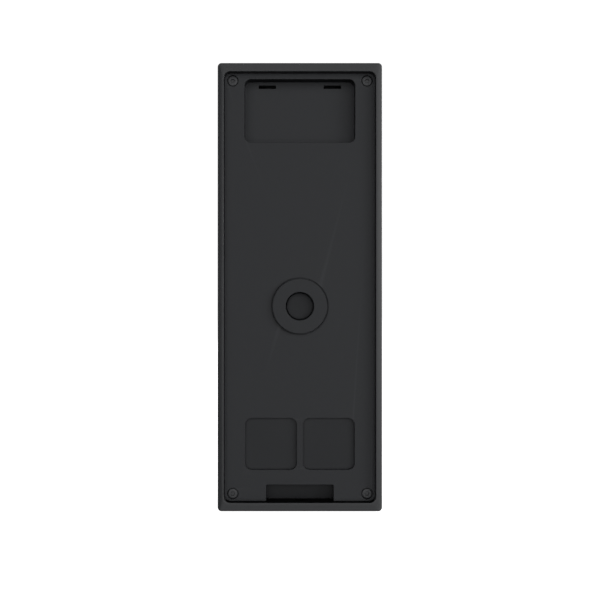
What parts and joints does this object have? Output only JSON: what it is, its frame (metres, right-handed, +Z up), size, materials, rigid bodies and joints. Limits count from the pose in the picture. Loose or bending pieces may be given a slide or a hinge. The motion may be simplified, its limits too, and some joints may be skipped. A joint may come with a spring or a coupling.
{
  "type": "video doorbell",
  "caption": "Battery video doorbell: slim casing with a recessed rear plate for a wall bracket, tamper plunger, camera and lit bell button.",
  "frame": {"origin": "middle of the plane of the rear rim, where the doorbell meets the wall", "axes": "+Z up, +Y out of the back towards the wall, +X towards the right-hand side as seen by a visitor facing the front"},
  "size_m": [0.0524, 0.0289, 0.143],
  "materials": {
    "casing_plastic": "fine moulded texture, charcoal",
    "plate_plastic": "fine moulded texture, dark charcoal",
    "gloss_plastic": "polished black",
    "rubber": "matt black silicone",
    "black_steel": "black oxide",
    "bright_steel": "satin",
    "glass": "coated and smooth",
    "lens_black": "matt black",
    "diffuser": "milky",
    "sensor_window": "dark tinted",
    "circuit_board": "green solder mask",
    "black_moulding": "matt black",
    "cell_pouch": "laminated foil",
    "grey_moulding": "grey moulding",
    "foam": "closed-cell foam",
    "lead_insulation": "red insulation",
    "clear_resin": "clear resin",
    "brass": "bright"
  },
  "bodies": {
    "doorbell": {"battery_lead": "lead_insulation", "battery_pack": "cell_pouch", "battery_pad": "foam", "battery_plug": "diffuser", "battery_tray": "grey_moulding", "board_screw_1": "bright_steel", "board_screw_2": "bright_steel", "board_screw_3": "bright_steel", "board_screw_4": "bright_steel", "button_light_ring": "diffuser", "button_switch": "black_moulding", "camera_board": "circuit_board", "camera_screw_1": "bright_steel", "camera_screw_2": "bright_steel", "casing": "casing_plastic", "charge_port": "bright_steel", "front_panel": "gloss_plastic", "front_panel_seal": "rubber", "image_sensor": "black_moulding", "infrared_board": "circuit_board", "infrared_led_1": "clear_resin", "infrared_led_2": "clear_resin", "infrared_led_3": "clear_resin", "infrared_led_4": "clear_resin", "lens_barrel": "lens_black", "lens_element": "glass", "lens_holder": "lens_black", "lens_trim_ring": "casing_plastic", "lens_window": "glass", "light_pipe": "clear_resin", "main_board": "circuit_board", "microphone": "bright_steel", "microphone_boot": "rubber", "movement_sensor": "bright_steel", "movement_sensor_lens": "sensor_window", "plate_screw_1": "black_steel", "plate_screw_2": "black_steel", "plate_screw_3": "black_steel", "plate_screw_4": "black_steel", "processor_shield": "bright_steel", "radio_antenna": "brass", "radio_module": "bright_steel", "rear_plate": "plate_plastic", "rear_plate_seal": "rubber", "ring_led_1": "clear_resin", "ring_led_2": "clear_resin", "ring_led_3": "clear_resin", "ring_led_4": "clear_resin", "speaker_cloth": "foam", "speaker_cone": "black_moulding", "speaker_frame": "bright_steel", "speaker_seal": "foam", "tamper_spring": "bright_steel", "tamper_switch": "black_moulding"},
    "button": {"bell_button": "gloss_plastic", "button_seal": "rubber", "button_switch_stem": "brass"},
    "plunger": {"tamper_plunger": "plate_plastic"},
    "cover": {"charge_port_cover": "rubber"}
  },
  "joints": [
    {"name": "bell_button_press", "type": "slide", "parent": "doorbell", "child": "button", "axis": [0, 1, 0], "range_m": [0, 0.0006], "stiffness_N_per_m": 2000, "springref_m": -0.0003},
    {"name": "tamper_press", "type": "slide", "parent": "doorbell", "child": "plunger", "axis": [0, -1, 0], "range_m": [0, 0.0012], "stiffness_N_per_m": 250, "springref_m": -0.002, "deforming": ["tamper_spring"]},
    {"name": "charge_port_cover_pull", "type": "slide", "parent": "doorbell", "child": "cover", "axis": [0, 0, -1], "range_m": [0, 0.008]}
  ]
}
